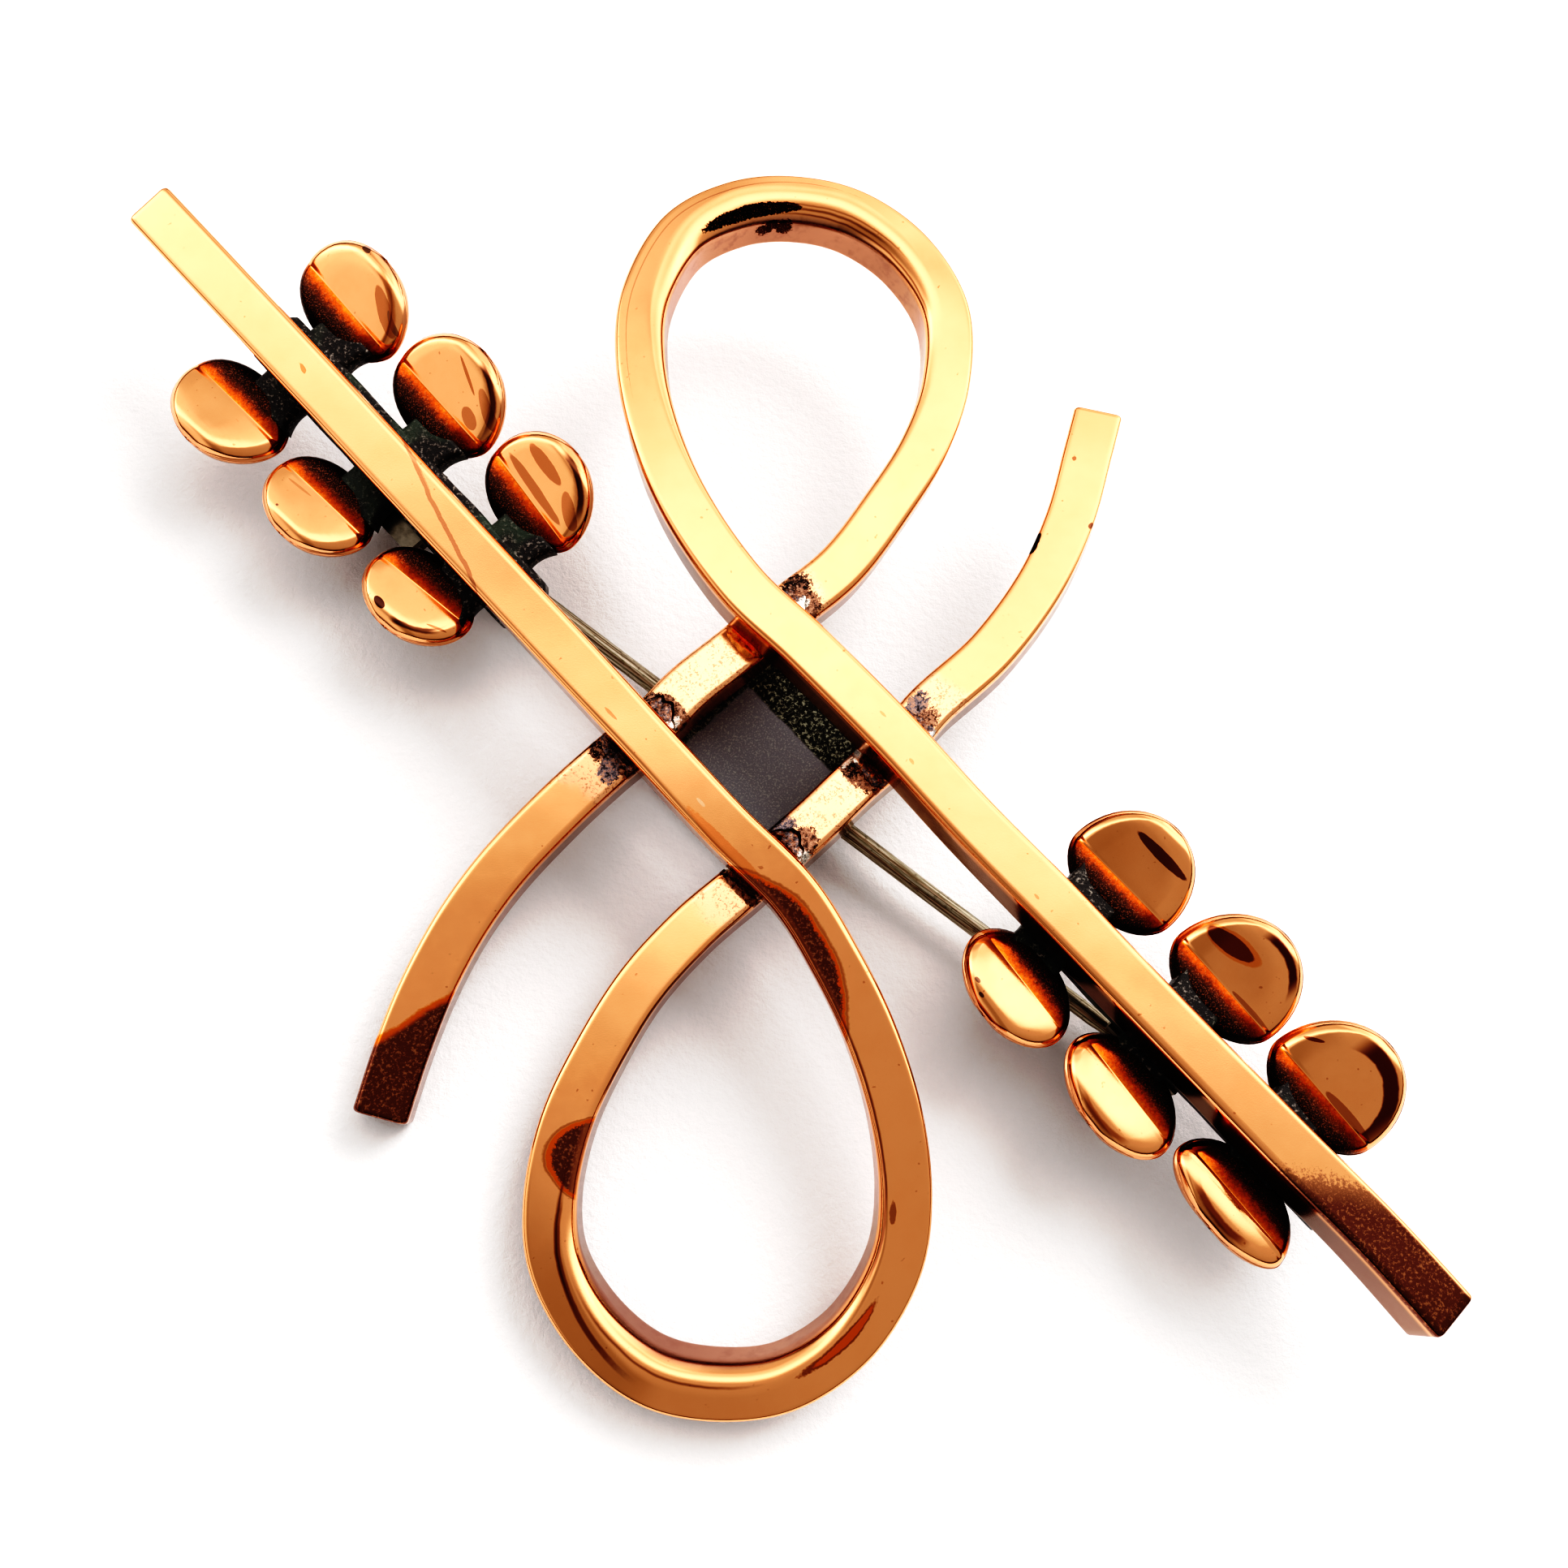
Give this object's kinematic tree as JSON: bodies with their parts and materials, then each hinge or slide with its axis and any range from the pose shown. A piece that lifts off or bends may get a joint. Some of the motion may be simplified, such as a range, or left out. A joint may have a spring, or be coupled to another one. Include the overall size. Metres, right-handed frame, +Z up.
{
  "type": "ribbon brooch",
  "caption": "Copper brooch of two square bars bent into crossing ribbon loops, with a dark centre plate, sprays of folded leaves and a hinged pin behind.",
  "frame": {"origin": "on the surface that the brooch lies on, below the middle of its outline", "axes": "+Z up out of the surface and the brooch's front, +X across the brooch to the wearer's side where the upper arm's tail ends, +Y up along the two loops"},
  "size_m": [0.0622, 0.0608, 0.0089],
  "materials": {
    "copper": "polished copper",
    "dark_copper": "blackened copper",
    "pin_metal": "dull drawn wire"
  },
  "bodies": {
    "brooch": {"ribbon_a": "copper", "ribbon_b": "copper", "centre_plate": "dark_copper", "leaf_spray_a": "dark_copper", "leaf_spray_b": "dark_copper", "pin_joint": "pin_metal", "pin_catch": "pin_metal"},
    "pin": {"pin_stem": "pin_metal"}
  },
  "joints": [
    {"name": "pin_hinge", "type": "hinge", "parent": "brooch", "child": "pin", "pos_m": [-0.01725, 0.01332, 0.00145], "axis": [0.6029, 0.7978, 0], "range_deg": [0, 75]}
  ]
}
